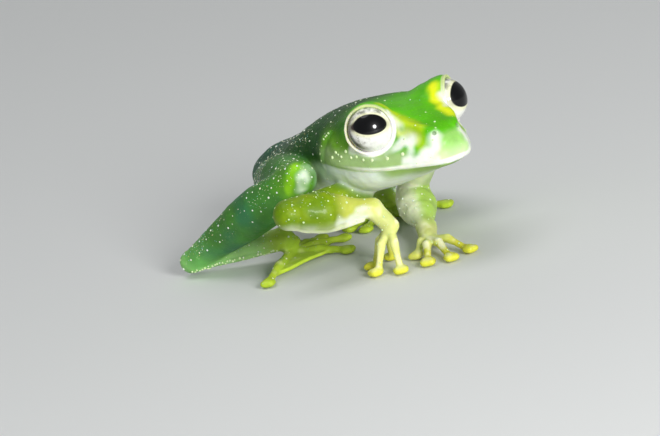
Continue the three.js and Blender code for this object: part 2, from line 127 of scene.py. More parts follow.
# The joints of the limbs, and where the toes and fingers end on the floor
POSE = {
    "right": {
        "hip": (-15.4, -1.7, 4.4),
        "knee": (-5.6, -5.5, 6.4),
        "heel": (-16.1, -8.7, 1.0),
        "ankle": (-10.9, -4.6, 1.65),
        "toes": [(-13.5, -2.3), (-12.5, -0.9), (-10.7, -0.2), (-7.7, -1.9), (-7.2, -8.5)],
        "shoulder": (-3.6, -2.7, 4.7),
        "elbow": (-3.1, -8.2, 5.1),
        "wrist": (-1.3, -3.3, 4.1),
        "knuckles": (-0.5, -2.8, 2.8),
        "fingers": [(-2.7, -1.9), (-2.2, -3.7), (-0.6, -4.5), (0.9, -3.6)],
    },
    "left": {
        "hip": (-15.4, 1.7, 4.4),
        "knee": (-6.0, 6.0, 6.4),
        "heel": (-17.8, 8.0, 1.0),
        "ankle": (-12.7, 4.7, 1.1),
        "toes": [(-12.2, 1.3), (-10.7, 1.6), (-9.3, 2.7), (-8.4, 4.3), (-9.3, 7.2)],
        "shoulder": (-3.9, 3.3, 5.7),
        "elbow": (-7.6, 3.7, 2.4),
        "wrist": (-3.0, 1.35, 1.1),
        "knuckles": (-1.7, 0.5, 0.75),
        "fingers": [(-0.8, -1.2), (1.5, -1.9), (2.4, -0.7), (2.2, 0.9)],
    },
}
SIDE_SIGN = {"right": -1, "left": 1}

# A digit: the radii of its stem, and the half sizes and blunt front corners of its pad
STEM_RADII = np.array([0.38, 0.27, 0.31, 0.23, 0.22, 0.24])
PAD_HALF = (0.42, 0.5, 0.27)
PAD_CORNER = 0.22
PAD_CORNER_AHEAD = 0.24

# Where each eye looks, in degrees outward and upward, how far its pupil tilts, and how tall its pupil is
GAZE = {"right": (32, 23, 7, 1.0), "left": (30.5, 16.5, 10, 1.25)}

# The row frame's origin, found from where the right eye sits in the frame
eye_low, eye_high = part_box("eye_right")
row_origin = (eye_low + eye_high) / 2 / MM - Vector((0, -EYE_HALF_SPACING, EYE_HEIGHT))


def to_row(points):
    return (np.asarray(points, float) + np.array(row_origin)) * MM


def mirrored(points, sign):
    """A point or a list of points of the left side, or its mirror image where sign is -1."""
    return np.asarray(points, float) * (1, sign, 1)


# Numbers as smooth curves
def ease(value, low, high):
    """How far a value has come from low to high, from 0 to 1, with soft ends."""
    t = np.clip((value - low) / (high - low), 0, 1)
    return t * t * (3 - 2 * t)


def smooth_min(a, b, soft):
    if soft <= 0:
        return np.minimum(a, b)
    h = np.clip(soft - np.abs(a - b), 0, None) / soft
    return np.minimum(a, b) - h * h * soft / 4


def smooth_max(a, b, soft):
    return -smooth_min(-a, -b, soft)


class Noise:
    """Smooth random values on a seeded lattice, read at any point."""

    def __init__(self, seed, size=24):
        self.size = size
        self.lattice = np.random.default_rng(seed).uniform(-1, 1, (size, size, size)).astype(np.float32)

    def at(self, points, wavelength):
        p = np.asarray(points, float) / wavelength
        base = np.floor(p).astype(int)
        f = p - base
        f = f * f * (3 - 2 * f)
        total = np.zeros(len(p))
        for corner in range(8):
            step = np.array([corner & 1, (corner >> 1) & 1, corner >> 2])
            index = (base + step) % self.size
            weight = np.prod(np.where(step == 1, f, 1 - f), axis=1)
            total += weight * self.lattice[index[:, 0], index[:, 1], index[:, 2]]
        return total


# Body line read at any x
line = np.array(BODY_LINE)[::-1]


def body_rows(x):
    """The body line's five values at each x, by the same cubic as the solids."""
    xs = line[:, 0]
    i = np.clip(np.searchsorted(xs, x) - 1, 0, len(xs) - 2)
    before = np.maximum(i - 1, 0)
    after = np.minimum(i + 2, len(xs) - 1)
    span = xs[i + 1] - xs[i]
    t = np.clip((x - xs[i]) / span, 0, 1)
    t2, t3 = t * t, t * t * t
    rows = []
    for k in range(1, 6):
        v = line[:, k]
        slope_a = (v[i + 1] - v[before]) / (xs[i + 1] - xs[before]) * span
        slope_b = (v[after] - v[i]) / (xs[after] - xs[i]) * span
        value = (2 * t3 - 3 * t2 + 1) * v[i] + (t3 - 2 * t2 + t) * slope_a
        value += (3 * t2 - 2 * t3) * v[i + 1] + (t3 - t2) * slope_b
        rows.append(value)
    return rows


def mouth_height(x):
    t = np.clip((SNOUT_X - x) / (SNOUT_X - MOUTH_CORNER_X), 0, 1)
    return MOUTH_FRONT_Z + (MOUTH_CORNER_Z - MOUTH_FRONT_Z) * t * t


def jaw_line(lift, inset, steps=40):
    """Points round the jaw at the mouth's height, raised by lift and pushed in by inset."""
    swing = np.linspace(-math.pi / 2, math.pi / 2, steps + 1)
    x = MOUTH_CORNER_X + (SNOUT_X - 0.45 - MOUTH_CORNER_X) * np.cos(swing)
    z = mouth_height(x) + lift
    half, top, bottom, widest, square = body_rows(x)
    rise = np.where(z > widest, top - widest, widest - bottom)
    share = np.minimum(np.abs((z - widest) / rise), 0.999)
    reach = half * (1 - share**square) ** (1 / square)
    y = np.sign(np.sin(swing)) * np.maximum(reach - inset, 0) * np.minimum(1, np.abs(np.sin(swing)) * 6)
    return np.stack([x, y, z], 1)


# Shapes that give a distance at each point
class Body:
    low = (VENT_X - 0.2, -4.7, 1.6)
    high = (SNOUT_X + 0.3, 4.7, 10.6)

    def distance(self, x, y, z):
        half, top, bottom, widest, square = body_rows(x)
        below_mouth = ease(mouth_height(x) - z, -0.02, 0.16)
        before_corner = ease(x, MOUTH_CORNER_X - 1.2, MOUTH_CORNER_X + 0.4)
        half = np.maximum(half - JAW_INSET * (below_mouth * before_corner), THINNEST)
        rise = np.maximum(np.where(z > widest, top - widest, widest - bottom), THINNEST)
        u = np.abs(y) / half
        v = np.abs(z - widest) / rise
        ratio = (u**square + v**square) ** (1 / square) + 1e-6
        reach = np.sqrt(y * y + (z - widest) ** 2) + 1e-6
        radial = reach * (1 - 1 / ratio)
        ends = np.maximum(x - SNOUT_X, VENT_X - x)
        return np.maximum(radial, ends)


class Chain:
    """A rounded tube through points, with a radius at each point."""

    def __init__(self, points, radii, flat=1.0):
        self.points = np.asarray(points, float)
        self.radii = np.asarray(radii, float)
        self.flat = flat
        room = self.radii.max() * max(1, flat)
        self.low = tuple(self.points.min(0) - room)
        self.high = tuple(self.points.max(0) + room)

    def distance(self, x, y, z):
        best = None
        for a, b, ra, rb in zip(self.points, self.points[1:], self.radii, self.radii[1:]):
            d = b - a
            dx, dy, dz = x - a[0], y - a[1], z - a[2]
            t = np.clip((dx * d[0] + dy * d[1] + dz * d[2]) / (d @ d), 0, 1)
            away = np.sqrt((dx - t * d[0]) ** 2 + (dy - t * d[1]) ** 2 + ((dz - t * d[2]) * self.flat) ** 2)
            here = away - (ra + (rb - ra) * t)
            best = here if best is None else np.minimum(best, here)
        return best


def bead(points, radius):
    """A tube of one radius through points."""
    return Chain(points, np.full(len(points), radius))


class Ball:
    """An ellipsoid with three half sizes, turned about the vertical by yaw."""

    def __init__(self, centre, half, yaw=0.0):
        self.centre = np.asarray(centre, float)
        self.half = np.broadcast_to(np.asarray(half, float), (3,))
        self.turn = (math.cos(yaw), math.sin(yaw))
        room = self.half.max()
        self.low = tuple(self.centre - room)
        self.high = tuple(self.centre + room)

    def distance(self, x, y, z):
        c, s = self.turn
        dx, dy, dz = x - self.centre[0], y - self.centre[1], z - self.centre[2]
        along, across = c * dx + s * dy, -s * dx + c * dy
        ratio = np.sqrt((along / self.half[0]) ** 2 + (across / self.half[1]) ** 2 + (dz / self.half[2]) ** 2)
        return (ratio - 1) * self.half.min()


class Web:
    """A thin sheet between two toes that start at one root, with a hollow front edge."""

    def __init__(self, root, tip_a, tip_b, share, hollow, thickness):
        self.root = np.asarray(root, float)
        self.thickness = thickness
        a = np.asarray(tip_a, float) - self.root[:2]
        b = np.asarray(tip_b, float) - self.root[:2]
        self.start = math.atan2(a[1], a[0])
        self.sweep = (math.atan2(b[1], b[0]) - self.start + math.pi) % (2 * math.pi) - math.pi
        self.reach = (np.hypot(*a) * share, np.hypot(*b) * share)
        self.hollow = hollow
        far = max(self.reach)
        self.low = (self.root[0] - far, self.root[1] - far, 0)
        self.high = (self.root[0] + far, self.root[1] + far, 1.2)

    def distance(self, x, y, z):
        dx, dy = x - self.root[0], y - self.root[1]
        r = np.sqrt(dx * dx + dy * dy) + 1e-6
        turn = (np.arctan2(dy, dx) - self.start + math.pi) % (2 * math.pi) - math.pi
        s = turn / self.sweep
        inside = np.clip(s, 0, 1)
        reach = self.reach[0] + (self.reach[1] - self.reach[0]) * inside
        reach = reach * (1 - self.hollow * np.sin(math.pi * inside))
        beside = np.maximum(-s, s - 1) * abs(self.sweep) * r
        middle = self.root[2] - 0.3 * np.clip(r / max(self.reach), 0, 1)
        return np.maximum(np.maximum(np.abs(z - middle) - self.thickness / 2, r - reach), beside)


class Group:
    """Several shapes blended with each other."""

    def __init__(self, shapes, soft):
        self.shapes = shapes
        self.soft = soft
        self.low = tuple(np.min([s.low for s in shapes], axis=0))
        self.high = tuple(np.max([s.high for s in shapes], axis=0))

    def distance(self, x, y, z):
        total = None
        for shape in self.shapes:
            here = shape.distance(x, y, z)
            total = here if total is None else smooth_min(total, here, self.soft)
        return total


class Field:
    """Distances on an even grid, joined shape by shape and turned into one surface."""

    def __init__(self, low, high, step):
        self.step = step
        self.low = np.asarray(low, float)
        counts = np.ceil((np.asarray(high) - self.low) / step).astype(int) + 1
        self.axes = [self.low[k] + step * np.arange(counts[k]) for k in range(3)]
        self.values = np.full(counts, FAR, np.float32)

    def window(self, shape, room):
        cuts = []
        for k in range(3):
            a = int(np.floor((shape.low[k] - room - self.low[k]) / self.step))
            b = int(np.ceil((shape.high[k] + room - self.low[k]) / self.step)) + 1
            cuts.append(slice(max(a, 0), max(min(b, len(self.axes[k])), 0)))
        x, y, z = (self.axes[k][cuts[k]] for k in range(3))
        return tuple(cuts), x[:, None, None], y[None, :, None], z[None, None, :]

    def change(self, shape, room, combine):
        cuts, x, y, z = self.window(shape, room)
        self.values[cuts] = combine(self.values[cuts], shape.distance(x, y, z))

    def join(self, shape, soft):
        self.change(shape, soft + 0.4, lambda old, new: smooth_min(old, new, soft))

    def carve(self, shape, soft):
        self.change(shape, soft + 0.4, lambda old, new: smooth_max(old, -new, soft))

    def flatten_at(self, height):
        self.values = np.maximum(self.values, (height - self.axes[2]).astype(np.float32))

    def surface(self):
        grid = openvdb.FloatGrid(FAR)
        grid.copyFromArray(np.ascontiguousarray(self.values))
        points, quads = grid.convertToQuads(isovalue=0.0)
        return np.asarray(points, float) * self.step + self.low, np.asarray(quads, int)


# Limbs
def between(a, b, share):
    return np.asarray(a, float) + (np.asarray(b, float) - np.asarray(a, float)) * share


def limb(a, b, radii):
    """A chain from a to b with the given radii at even steps."""
    return Chain([between(a, b, share) for share in np.linspace(0, 1, len(radii))], radii)


def digit(root, tip, arch, thick):
    """A finger or toe: a slim stem with knots at its knuckles, and a broad pad cut short at the tip."""
    tip = np.array([tip[0], tip[1], DIGIT_FLOOR_Z])
    root = np.asarray(root, float)
    middle = between(root, tip, 0.5) + (0, 0, arch)
    neck = between(tip, middle, 0.28)
    neck[2] = DIGIT_FLOOR_Z + 0.08
    ahead = np.array([tip[0] - root[0], tip[1] - root[1], 0])
    ahead /= np.linalg.norm(ahead)
    aside = np.array([-ahead[1], ahead[0], 0])
    shaft = between(root, middle, 0.55)
    points = [root, shaft, middle, between(middle, neck, 0.5), neck, tip]
    stem = Chain(points, STEM_RADII * thick)
    pad = Ball(tip - 0.06 * ahead, PAD_HALF, math.atan2(ahead[1], ahead[0]))
    front = tip + PAD_CORNER_AHEAD * ahead
    ends = [front - PAD_CORNER * aside, front + PAD_CORNER * aside]
    return Group([stem, pad, Chain(ends, [PAD_CORNER, PAD_CORNER], flat=1.15)], 0.16)


def make_foot(pose):
    ankle = np.array(pose["ankle"])
    middle = np.array([*np.mean(pose["toes"], axis=0), 0.55])
    instep = between(ankle, middle, 0.32)
    root = between(ankle, instep, 0.55)
    root[2] = 0.62
    sole = Chain([ankle, instep], [0.8, 0.5], flat=1.25)
    toes = [digit(root, tip, 0.15, 1.0) for tip in pose["toes"]]
    webs = [Web(root, a, b, 0.7, 0.28, WEB_THICKNESS) for a, b in zip(pose["toes"], pose["toes"][1:])]
    return Group([sole, *toes, *webs], 0.2)


def make_hand(pose):
    knuckles = np.array(pose["knuckles"])
    palm = Chain([pose["wrist"], knuckles], [0.62, 0.6], flat=1.15)
    fingers = [digit(knuckles, tip, 0.35, 0.95) for tip in pose["fingers"]]
    return Group([palm, *fingers], 0.2)


def make_limbs(pose):
    return {
        "thigh": limb(pose["hip"], pose["knee"], [1.3, 1.55, 1.65, 1.5, 1.1]),
        "shank": limb(pose["knee"], pose["heel"], [1.05, 1.3, 1.5, 1.42, 1.2, 0.95, 0.75]),
        "tarsus": limb(pose["heel"], pose["ankle"], [0.72, 0.68, 0.7, 0.78]),
        "foot": make_foot(pose),
        "upper_arm": limb(pose["shoulder"], pose["elbow"], [1.0, 0.95, 0.9]),
        "forearm": limb(pose["elbow"], pose["wrist"], [0.95, 1.22, 1.28, 1.0, 0.72, 0.6]),
        "hand": make_hand(pose),
    }


def fringe_line(side):
    """The edge of skin along the outer side of the tarsus, low down."""
    heel, ankle = np.array(POSE[side]["heel"]), np.array(POSE[side]["ankle"])
    outward = np.cross(ankle - heel, (0, 0, SIDE_SIGN[side]))
    outward *= -1 / np.linalg.norm(outward)
    low_side = 0.6 * outward + (0, 0, -0.48)
    return np.array([between(heel, ankle, t) + low_side for t in np.linspace(0.02, 0.95, 25)])


def arm_edge():
    """The edge of skin along the lower side of the right forearm."""
    elbow, wrist = np.array(POSE["right"]["elbow"]), np.array(POSE["right"]["wrist"])
    lowward = np.array([0.34, -0.45, -0.83])
    drop = np.array([0.8, 1.08, 1.2, 1.16, 0.98, 0.8])
    return np.array([between(elbow, wrist, t) + lowward * d for t, d in zip(np.linspace(0.0, 0.9, 6), drop)])


def eye_centre(side):
    return np.array([0, SIDE_SIGN[side] * EYE_HALF_SPACING, EYE_HEIGHT])


def eye_axis(side, yaw=LID_YAW, pitch=LID_PITCH):
    yaw, pitch = math.radians(yaw) * SIDE_SIGN[side], math.radians(pitch)
    return np.array([math.cos(pitch) * math.cos(yaw), math.cos(pitch) * math.sin(yaw), math.sin(pitch)])


class LidCup:
    """The cup of skin round an eye, open in front."""

    def __init__(self, side):
        self.centre = eye_centre(side)
        self.axis = eye_axis(side)
        room = LID_RIM_RADIUS + 0.6
        self.low = tuple(self.centre - room)
        self.high = tuple(self.centre + room)

    def place(self, x, y, z):
        """How far each point is along the eye's axis, from the axis, and from the eye's centre."""
        dx, dy, dz = x - self.centre[0], y - self.centre[1], z - self.centre[2]
        along = dx * self.axis[0] + dy * self.axis[1] + dz * self.axis[2]
        away = np.sqrt(dx * dx + dy * dy + dz * dz)
        return along, np.sqrt(np.maximum(away * away - along * along, 0)), away

    def distance(self, x, y, z):
        along, _, away = self.place(x, y, z)
        return smooth_max(away - EYE_RADIUS - LID_THICKNESS, along - LID_RIM_AHEAD, 0.12)


class LidRim(LidCup):
    """The thick pale rim round the opening of the lids."""

    def distance(self, x, y, z):
        along, beside, _ = self.place(x, y, z)
        return np.sqrt((beside - LID_RIM_RADIUS) ** 2 + (along - LID_RIM_AHEAD) ** 2) - LID_RIM_THICKNESS


class FaceCut(LidCup):
    """The hollow in front of an eye, which widens forward from the rim."""

    def distance(self, x, y, z):
        along, beside, _ = self.place(x, y, z)
        ahead = along - LID_RIM_AHEAD
        side = beside - LID_RIM_RADIUS - FACE_CUT_ROOM - FACE_CUT_FLARE * ahead
        return np.maximum(side * FACE_CUT_SLOPE, -ahead)


class EyeRoom(LidCup):
    """The room of the eyeball, which no skin fills."""

    def distance(self, x, y, z):
        return self.place(x, y, z)[2] - EYE_RADIUS + EYE_ROOM_OVERLAP


def head_forms():
    """Forms that stand out of the head and neck, each with how softly it joins."""
    forms = [(bead(jaw_line(0.26, 0.19), 0.2), 0.3)]
    for side, sign in SIDE_SIGN.items():
        forms += [
            (Ball(mirrored(BROW[0], sign), BROW[1]), 0.45),
            (LidCup(side), 0.2),
            (Ball(mirrored(SNOUT_TIP[0], sign), SNOUT_TIP[1]), 0.3),
            (Chain(mirrored(CANTHUS_LINE, sign), CANTHUS_RADII), 0.5),
            (Ball(mirrored(NOSTRIL_MOUND[0], sign), NOSTRIL_MOUND[1]), 0.25),
            (Chain(mirrored(FOLD, sign), FOLD_RADII), 0.16),
            (Ball(mirrored(EARDRUM[0], sign), EARDRUM[1]), 0.1),
        ]
    return forms


# The skin
limbs = {side: make_limbs(POSE[side]) for side in SIDE_SIGN}
body = Body()


def creases(side):
    """Short wrinkles across the front of the knee and the inside of the elbow."""
    lines = []
    for joint, reach, facing in (("knee", 1.0, (0.8, 0.55, 0.2)), ("elbow", 0.85, (0.45, 0.6, 0.65))):
        out = np.array(facing) * (1, SIDE_SIGN[side], 1)
        out /= np.linalg.norm(out)
        across = np.cross(out, (0.1, 0, 1.0))
        across /= np.linalg.norm(across)
        upward = np.cross(across, out)
        for shift in (-0.5, -0.17, 0.14, 0.46):
            turned = [out + across * shift + upward * rise for rise in (-0.55, -0.2, 0.2, 0.5)]
            lines.append([np.array(POSE[side][joint]) + reach * v / np.linalg.norm(v) for v in turned])
    return lines


def build_field():
    field = Field(GRID_LOW, GRID_HIGH, VOXEL)
    field.join(body, 0)
    for shape, soft in head_forms():
        field.join(shape, soft)
    for side in SIDE_SIGN:
        parts = limbs[side]
        field.join(Group([parts["thigh"], parts["shank"]], 0.3), 0.35)
        field.join(Group([parts["upper_arm"], parts["forearm"], parts["hand"]], 0.3), 0.35)
        field.join(Group([parts["tarsus"], parts["foot"]], 0.3), 0.2)
        field.join(bead(fringe_line(side), FRINGE_RADIUS), 0.12)
    field.join(Chain(arm_edge(), [0.08, 0.15, 0.17, 0.17, 0.15, 0.1]), 0.2)
    for side in SIDE_SIGN:
        for crease in creases(side):
            field.carve(Chain(crease, [0.03, 0.07, 0.06, 0.03]), 0.12)
    field.carve(bead(jaw_line(-0.01, -0.02), MOUTH_GROOVE), 0.08)
    for side, sign in SIDE_SIGN.items():
        field.carve(FaceCut(side), 0.3)
        field.join(LidRim(side), 0.06)
        field.carve(EyeRoom(side), 0.03)
        field.carve(Ball(mirrored(NOSTRIL, sign), NOSTRIL_PIT), 0.05)
    field.flatten_at(0.01)
    return field


def new_mesh_object(name, points, faces):
    mesh = bpy.data.meshes.new(name)
    mesh.from_pydata(points.tolist(), [], faces.tolist() if hasattr(faces, "tolist") else faces)
    mesh.update()
    thing = bpy.data.objects.new(name, mesh)
    bpy.context.scene.collection.objects.link(thing)
    for polygon in mesh.polygons:
        polygon.use_smooth = True
    return thing


def mesh_normals(mesh):
    found = np.empty(len(mesh.vertices) * 3, np.float32)
    mesh.vertex_normals.foreach_get("vector", found)
    return found.reshape(-1, 3).astype(float)


grain = Noise(11)
mottle = Noise(12)


def relief(points):
    """Height of the skin's fine relief, in millimetres."""
    bumps = grain.at(points, 0.55) * 0.014 + grain.at(points + 7, 0.28) * 0.01
    return bumps + mottle.at(points, 2.1) * 0.03


def part_distances(points):
    x, y, z = points.T
    found = {"body": body.distance(x, y, z)}
    for side in SIDE_SIGN:
        for name, shape in limbs[side].items():
            found[f"{name}_{side}"] = shape.distance(x, y, z)
    return found


def nearest_part(points):
    """The nearest part of the frog to each point: its place in the list, and its name."""
    found = part_distances(points)
    nearest = np.argmin(np.stack(list(found.values())), axis=0)
    return nearest, np.array(list(found))[nearest]


def colour(red, green, blue):
    """A linear colour from the 0 to 255 values that a screen shows."""
    values = np.array([red, green, blue]) / 255
    return np.where(values <= 0.04045, values / 12.92, ((values + 0.055) / 1.055) ** 2.4)


# The frog's colours, as the screen shows them
CROWN = colour(92, 190, 0)
CROWN_DARK = colour(54, 146, 0)
# The dark green at the back of the crown is painted shade
CROWN_SHADE = colour(14, 56, 2)
YELLOW = colour(238, 248, 16)
CANTHUS = colour(160, 200, 20)
SNOUT = colour(154, 212, 104)
SNOUT_PALE = colour(200, 232, 166)
WHITE = colour(244, 250, 236)
LIP_CREAM = colour(246, 252, 234)
# Painted shade in the nostril pits
NOSTRIL_SHADE = colour(92, 126, 44)
RIM = colour(252, 253, 242)
RIM_TOP = colour(196, 216, 132)
RIM_REAR = colour(240, 240, 196)
PALE_YELLOW = colour(226, 238, 140)
FOLD_GREEN = colour(104, 170, 70)
CHEEK = colour(168, 200, 128)
EAR_GREEN = colour(104, 158, 36)
THROAT = colour(234, 246, 234)
CHIN = colour(146, 180, 96)
# The back and rump: their green and teal darkened with painted shade
BACK_SHADED = colour(34, 88, 26)
RUMP_SHADED = colour(22, 88, 52)
FLANK = colour(104, 140, 70)
BELLY = colour(206, 216, 190)
SHANK = colour(72, 136, 48)
SHANK_TEAL = colour(54, 118, 72)
KNEE = colour(96, 160, 30)
KNEE_YELLOW = colour(150, 214, 10)
# Painted highlights on the knee: white, and a softer pale green
KNEE_HIGHLIGHT = colour(232, 248, 226)
KNEE_SOFT_HIGHLIGHT = colour(160, 204, 150)
HEEL = colour(108, 182, 88)
ARM = colour(128, 156, 2)
ARM_DARK = colour(84, 124, 0)
ARM_TAN = colour(190, 196, 84)
LEFT_ARM = colour(178, 214, 96)
# Painted highlight on the left arm's side toward the camera
LEFT_ARM_HIGHLIGHT = colour(244, 250, 212)
ARM_EDGE = colour(222, 228, 196)
HAND = colour(224, 230, 142)
DIGIT = colour(216, 216, 66)
# Painted highlights on the tops of fingers and toes
DIGIT_HIGHLIGHT = colour(248, 248, 196)
FOOT = colour(184, 214, 64)
TOE = colour(176, 198, 52)
RUST = colour(112, 70, 34)
TARSUS_PALE = colour(184, 228, 146)

# Marks on the knee, from its joint outward, on the right side: a yellow band, then painted highlights in pale
# green and white
KNEE_MARKS_AND_HIGHLIGHTS = [
    (KNEE_YELLOW, [(0.4, -0.4, 0.8), (0.45, -0.7, 0.2), (0.4, -0.9, -0.2)], 0.34, 0.9),
    (KNEE_SOFT_HIGHLIGHT, [(0.7, 0.8, 0.6), (0.75, 0.85, 0.0), (0.65, 0.8, -0.5)], 0.5, 0.7),
    (KNEE_HIGHLIGHT, [(0.9, 0.1, 0.8), (1.0, 0.3, 0.3), (1.02, 0.4, 0.1)], 0.24, 0.6),
    (KNEE_HIGHLIGHT, [(0.9, -0.3, 0.3), (0.9, -0.3, -0.3)], 0.26, 0.95),
]

# A rusty streak along the flank, and how softly the parts' colours meet
RUST_LINE = [(-6.5, -3.6, 6.2), (-9.5, -3.6, 5.4)]
TINT_BLEND = 0.14


def distance_to(side, joint, points):
    return np.linalg.norm(points - np.array(POSE[side][joint]), axis=1)


def mix(a, b, share):
    """One colour, or one for each point, mixed with another by a share, or one for each point."""
    share = np.reshape(share, (-1, 1))
    return a * (1 - share) + b * share


def stroke(points, line_points, radius, soft):
    """How strongly a soft-edged stroke along a line covers each point, from 0 to 1."""
    return ease(-bead(line_points, radius).distance(*points.T), -soft, soft)


# How strongly the yellow crest before each eye shows
CREST_GLOW = {"right": 0.5, "left": 0.95}


def face_marks(side):
    """The marks of the face, all as on the left: colour, line, radius, softness, strength."""
    crest = [(0.5, 2.0, 10.6), (0.75, 1.75, 10.2), (1.16, 1.7, 9.7), (2.1, 1.4, 9.2), (2.9, 1.3, 8.9)]
    return [
        (CANTHUS, [(1.0, 1.5, 9.7), (2.1, 1.6, 9.1), (3.1, 1.55, 8.4), (3.5, 1.6, 7.9)], 0.34, 0.3, 0.9),
        (YELLOW, crest, 0.33, 0.3, CREST_GLOW[side]),
        (WHITE, [(1.2, 1.95, 10.05), (1.5, 1.95, 9.55), (1.9, 1.85, 9.1)], 0.2, 0.22, 0.9),
        (PALE_YELLOW, [(1.8, 2.1, 8.9), (2.4, 1.9, 8.65), (3.0, 1.75, 8.3)], 0.26, 0.26, 0.85),
        (WHITE, [(-0.9, 4.1, 8.2), (-0.3, 3.9, 7.85), (0.5, 3.6, 7.7), (1.2, 3.2, 7.75)], 0.34, 0.2, 0.96),
        (WHITE, [(1.2, 3.1, 7.8), (1.7, 2.6, 8.1), (2.2, 2.25, 8.35), (2.7, 1.95, 8.3)], 0.34, 0.22, 0.95),
        (WHITE, [(2.7, 2.0, 8.2), (2.85, 2.1, 7.8), (2.75, 2.25, 7.3)], 0.2, 0.2, 0.8),
        # The lore patch, where the white lip widens in front: white skin with a painted highlight over it
        (WHITE, [(3.9, 0.95, 8.15), (4.05, 1.15, 7.8), (3.8, 1.5, 7.45), (3.3, 1.9, 7.2)], 0.42, 0.26, 0.98),
        (WHITE, [(4.15, 1.2, 7.05), (3.9, 1.5, 7.1), (3.2, 2.0, 7.15), (2.5, 2.45, 7.05)], 0.3, 0.2, 0.95),
        (FOLD_GREEN, FOLD, 0.2, 0.14, 0.7),
    ]


def head_tint(points, blotch, fine, broken):
    x, _, z = points.T
    above_mouth = z - mouth_height(x)
    head = mix(CROWN, CROWN_DARK, ease(broken, 0.0, 0.9) * 0.7)
    # The crown darkens toward the back, above the mouth: painted shade
    head = mix(head, CROWN_SHADE, 0.85 * ease(-x + 0.5 * blotch, 0.2, 4.6) * ease(above_mouth, 0.9, 2.1))
    head = mix(head, EAR_GREEN, ease(-above_mouth, -2.6, -1.4) * ease(-x, -0.6, 0.8))
    head = mix(head, CHEEK, ease(-above_mouth + 0.15 * broken, -1.5, -0.8) * ease(-x, -3.4, -2.2))
    nose = ease(x + 0.25 * blotch, 3.75, 4.3) * ease(-z, -8.75, -8.3)
    head = mix(head, SNOUT, np.maximum(nose, ease(x, 4.35, 4.6) * ease(-z, -8.9, -8.5)))
    head = mix(head, SNOUT_PALE, nose * ease(-above_mouth + 0.1 * blotch, -1.5, -0.4))
    ragged = points + np.stack([0.2 * blotch, 0.16 * fine, 0.2 * blotch - 0.16 * fine], 1)
    for side, sign in SIDE_SIGN.items():
        for shade, line_points, radius, soft, strength in face_marks(side):
            head = mix(head, shade, stroke(ragged, mirrored(line_points, sign), radius, soft) * strength)
    lip_height = 0.26 + 0.12 * ease(x, 1.0, 3.0)
    lip = ease(lip_height - above_mouth, -0.06, 0.08) * ease(above_mouth, -0.06, 0.02)
    head = mix(head, LIP_CREAM, lip * ease(x, -2.6, 0.0))
    chin = ease(x + 0.8 * blotch, -0.4, 1.8) * ease(above_mouth, -1.3, -0.2)
    return mix(head, mix(THROAT, CHIN, chin), ease(-above_mouth, 0.0, 0.14))


def trunk_tint(points, blotch, broken):
    x, _, z = points.T
    # The back and rump darkened with painted shade, blotched with the crown's painted shade
    trunk = mix(BACK_SHADED, RUMP_SHADED, ease(-x + blotch, 9.0, 15.0))
    trunk = mix(trunk, CROWN_SHADE, ease(broken, 0.0, 0.8) * 0.5)
    _, _, bottom, widest, _ = body_rows(x)
    depth = (widest - z) / np.maximum(widest - bottom, 0.2)
    trunk = mix(trunk, FLANK, ease(depth + 0.15 * blotch, -0.15, 0.25))
    trunk = mix(trunk, RUST, 0.45 * stroke(points, RUST_LINE, 0.5, 0.5))
    trunk = mix(trunk, BELLY, ease(depth, 0.3, 0.7))
    return mix(trunk, THROAT, ease(x, -6.8, -5.2) * ease(mouth_height(x) - z, -0.2, 0.5))


def leg_tints(side, points, blotch, fine, broken):
    to_knee, to_heel, to_ankle = (distance_to(side, joint, points) for joint in ("knee", "heel", "ankle"))
    leg = mix(SHANK, SHANK_TEAL, ease(blotch, -0.4, 0.6) * ease(to_knee, 2.0, 4.5))
    leg = mix(leg, KNEE, ease(-to_knee + 0.4 * broken, -2.2, -1.0))
    # The knee's yellow band and its painted highlights
    for shade, line_points, radius, strength in KNEE_MARKS_AND_HIGHLIGHTS:
        placed = mirrored(line_points, -SIDE_SIGN[side]) + np.array(POSE[side]["knee"])
        leg = mix(leg, shade, stroke(points + 0.25 * broken[:, None], placed, radius, 0.26) * strength)
    leg = mix(leg, HEEL, ease(-to_heel, -4.2, -1.2))
    foot = mix(FOOT, TOE, ease(to_ankle, 2.0, 5.0) * (0.75 + 0.25 * blotch))
    # Pale streaks on the higher parts of the foot: painted highlights
    toe_highlights = 0.35 * ease(fine, 0.2, 0.8) * ease(points[:, 2], 0.4, 0.7)
    return {
        # The thigh takes on the back's painted shade toward the hip
        f"thigh_{side}": mix(leg, BACK_SHADED, 0.5 * ease(to_knee, 2.0, 6.0)),
        f"shank_{side}": leg,
        f"tarsus_{side}": mix(mix(leg, TARSUS_PALE, 0.6), FOOT, ease(to_heel, 4.8, 7.0) * 0.8),
        f"foot_{side}": mix(foot, DIGIT_HIGHLIGHT, toe_highlights),
    }


